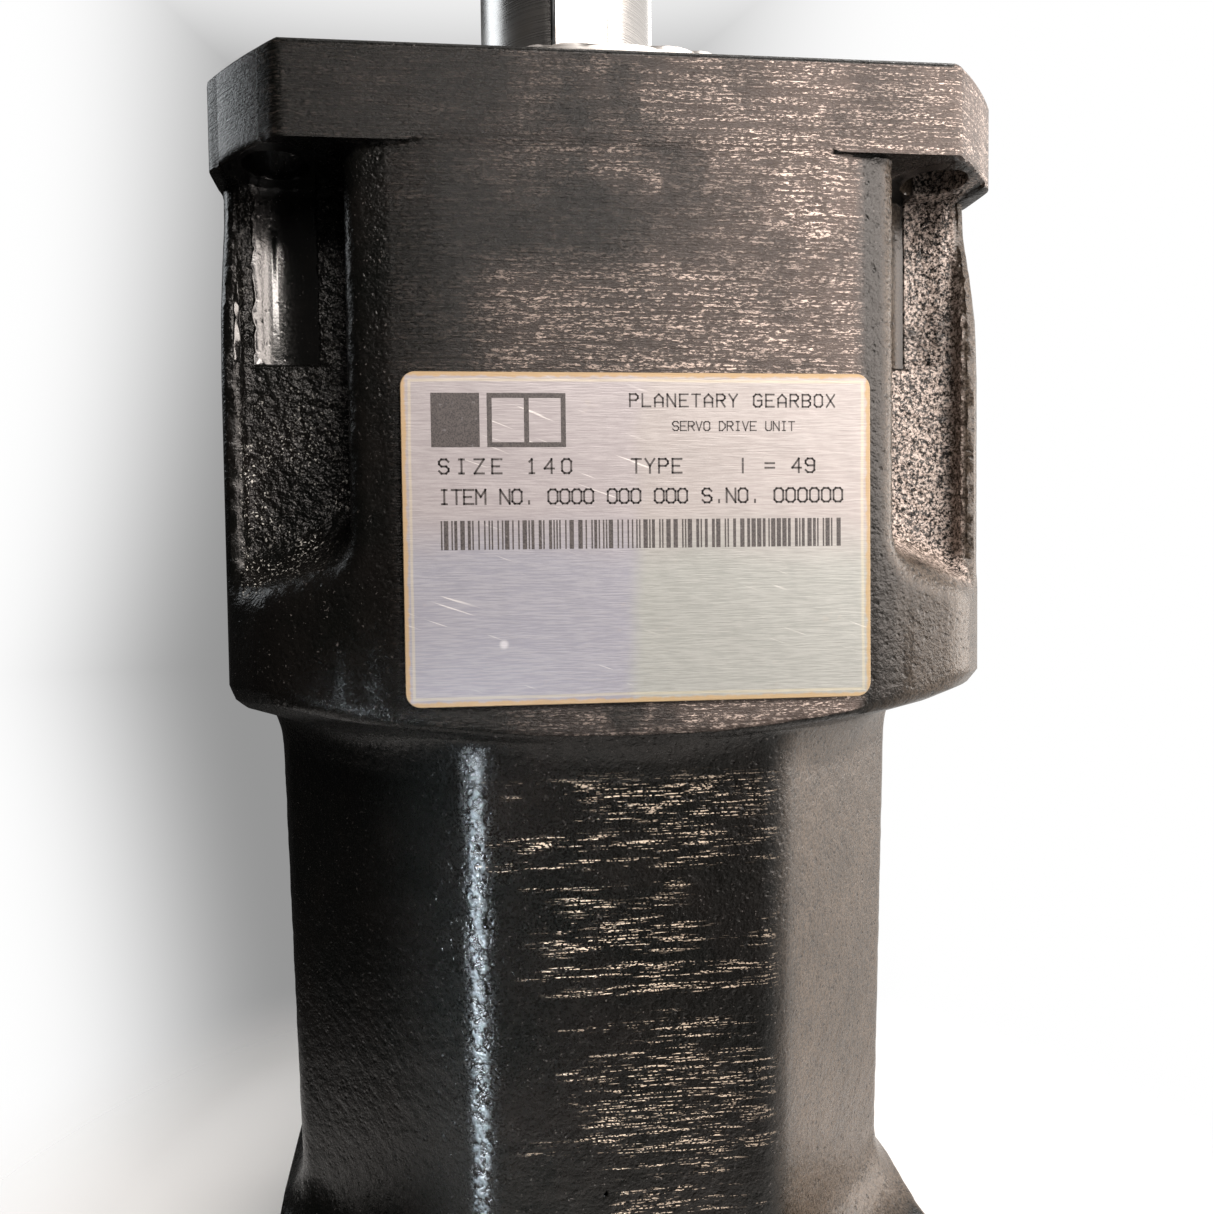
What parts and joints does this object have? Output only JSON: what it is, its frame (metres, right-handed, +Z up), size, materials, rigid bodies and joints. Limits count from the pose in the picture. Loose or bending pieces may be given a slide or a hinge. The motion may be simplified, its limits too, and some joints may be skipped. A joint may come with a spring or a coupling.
{
  "type": "planetary gearbox",
  "caption": "Black painted inline planetary gear reducer with a square output flange, keyed output shaft, octagonal lower body, motor adapter and a foil nameplate on the front.",
  "frame": {"origin": "centre of the motor adapter's flat underside, on the gearbox axis", "axes": "+Z up along the gearbox axis towards the output shaft, -Y towards the nameplate, +X to the nameplate's right"},
  "size_m": [0.14, 0.1447, 0.351],
  "materials": {
    "black_paint": "semi-gloss black paint over a cast and milled surface",
    "gear_steel": "ground steel",
    "dark_steel": "blackened steel",
    "bearing_steel": "polished bearing steel",
    "zinc_steel": "zinc-plated steel",
    "bush_bronze": "bearing bronze",
    "seal_rubber": "nitrile rubber",
    "label_foil": "satin silver foil with dark print"
  },
  "bodies": {
    "housing_body": {"housing": "black_paint", "nameplate": "label_foil", "output_seal": "seal_rubber", "output_bearing_upper_outer_ring": "bearing_steel", "output_bearing_lower_outer_ring": "bearing_steel", "bearing_retaining_ring": "dark_steel", "stage2_ring_gear": "dark_steel", "ring_spacer": "zinc_steel", "stage1_ring_gear": "dark_steel", "input_bearing_carrier": "zinc_steel", "input_bearing_outer_ring": "bearing_steel", "input_seal": "seal_rubber", "adapter_o_ring": "seal_rubber", "motor_plate": "black_paint", "motor_plate_screw_1": "zinc_steel", "motor_plate_screw_2": "zinc_steel", "motor_plate_screw_3": "zinc_steel", "motor_plate_screw_4": "zinc_steel", "motor_adapter": "black_paint", "adapter_screw_1": "zinc_steel", "adapter_screw_2": "zinc_steel", "adapter_screw_3": "zinc_steel", "adapter_screw_4": "zinc_steel", "access_plug": "dark_steel", "oil_fill_plug": "zinc_steel", "oil_drain_plug": "zinc_steel"},
    "output_body": {"output_shaft": "gear_steel", "output_key": "dark_steel", "output_carrier_plate": "dark_steel", "stage2_pin_1": "dark_steel", "stage2_pin_2": "dark_steel", "stage2_pin_3": "dark_steel", "output_bearing_upper_inner_ring": "bearing_steel", "output_bearing_lower_inner_ring": "bearing_steel", "bearing_spacer": "zinc_steel"},
    "stage1_carrier_body": {"stage1_carrier": "gear_steel", "stage1_carrier_plate": "dark_steel", "stage1_pin_1": "dark_steel", "stage1_pin_2": "dark_steel", "stage1_pin_3": "dark_steel"},
    "input_body": {"input_sun_shaft": "gear_steel", "input_bearing_inner_ring": "bearing_steel", "clamp_collar": "dark_steel", "clamp_screw": "dark_steel"},
    "output_bearing_upper_cage": {"output_bearing_upper_balls": "bearing_steel"},
    "output_bearing_lower_cage": {"output_bearing_lower_balls": "bearing_steel"},
    "input_bearing_cage": {"input_bearing_balls": "bearing_steel"},
    "stage2_planet_body_1": {"stage2_planet_1": "gear_steel", "stage2_bush_1": "bush_bronze"},
    "stage2_planet_body_2": {"stage2_planet_2": "gear_steel", "stage2_bush_2": "bush_bronze"},
    "stage2_planet_body_3": {"stage2_planet_3": "gear_steel", "stage2_bush_3": "bush_bronze"},
    "stage1_planet_body_1": {"stage1_planet_1": "gear_steel", "stage1_bush_1": "bush_bronze"},
    "stage1_planet_body_2": {"stage1_planet_2": "gear_steel", "stage1_bush_2": "bush_bronze"},
    "stage1_planet_body_3": {"stage1_planet_3": "gear_steel", "stage1_bush_3": "bush_bronze"}
  },
  "joints": [
    {"name": "output_spin", "type": "hinge", "parent": "housing_body", "child": "output_body", "pos_m": [0, 0, 0.21], "axis": [0, 0, 1], "continuous": true},
    {"name": "stage1_carrier_spin", "type": "hinge", "parent": "housing_body", "child": "stage1_carrier_body", "pos_m": [0, 0, 0.14], "axis": [0, 0, 1], "continuous": true},
    {"name": "input_spin", "type": "hinge", "parent": "housing_body", "child": "input_body", "pos_m": [0, 0, 0.06], "axis": [0, 0, 1], "continuous": true},
    {"name": "output_bearing_upper_roll", "type": "hinge", "parent": "housing_body", "child": "output_bearing_upper_cage", "pos_m": [0, 0, 0.2505], "axis": [0, 0, 1], "continuous": true},
    {"name": "output_bearing_lower_roll", "type": "hinge", "parent": "housing_body", "child": "output_bearing_lower_cage", "pos_m": [0, 0, 0.223], "axis": [0, 0, 1], "continuous": true},
    {"name": "input_bearing_roll", "type": "hinge", "parent": "housing_body", "child": "input_bearing_cage", "pos_m": [0, 0, 0.0865], "axis": [0, 0, 1], "continuous": true},
    {"name": "stage2_planet_1_spin", "type": "hinge", "parent": "output_body", "child": "stage2_planet_body_1", "pos_m": [0, 0.02625, 0.1775], "axis": [0, 0, 1], "continuous": true},
    {"name": "stage2_planet_2_spin", "type": "hinge", "parent": "output_body", "child": "stage2_planet_body_2", "pos_m": [-0.02273, -0.01312, 0.1775], "axis": [0, 0, 1], "continuous": true},
    {"name": "stage2_planet_3_spin", "type": "hinge", "parent": "output_body", "child": "stage2_planet_body_3", "pos_m": [0.02273, -0.01312, 0.1775], "axis": [0, 0, 1], "continuous": true},
    {"name": "stage1_planet_1_spin", "type": "hinge", "parent": "stage1_carrier_body", "child": "stage1_planet_body_1", "pos_m": [0, 0.02625, 0.124], "axis": [0, 0, 1], "continuous": true},
    {"name": "stage1_planet_2_spin", "type": "hinge", "parent": "stage1_carrier_body", "child": "stage1_planet_body_2", "pos_m": [-0.02273, -0.01312, 0.124], "axis": [0, 0, 1], "continuous": true},
    {"name": "stage1_planet_3_spin", "type": "hinge", "parent": "stage1_carrier_body", "child": "stage1_planet_body_3", "pos_m": [0.02273, -0.01312, 0.124], "axis": [0, 0, 1], "continuous": true}
  ],
  "couplings": [
    {"joint": "stage1_carrier_spin", "follows": "output_spin", "ratio": 7},
    {"joint": "input_spin", "follows": "output_spin", "ratio": 49},
    {"joint": "output_bearing_upper_roll", "follows": "output_spin", "ratio": 0.403},
    {"joint": "output_bearing_lower_roll", "follows": "output_spin", "ratio": 0.424},
    {"joint": "input_bearing_roll", "follows": "output_spin", "ratio": 20.97},
    {"joint": "stage2_planet_1_spin", "follows": "output_spin", "ratio": -2.4},
    {"joint": "stage2_planet_2_spin", "follows": "output_spin", "ratio": -2.4},
    {"joint": "stage2_planet_3_spin", "follows": "output_spin", "ratio": -2.4},
    {"joint": "stage1_planet_1_spin", "follows": "output_spin", "ratio": -16.8},
    {"joint": "stage1_planet_2_spin", "follows": "output_spin", "ratio": -16.8},
    {"joint": "stage1_planet_3_spin", "follows": "output_spin", "ratio": -16.8}
  ]
}
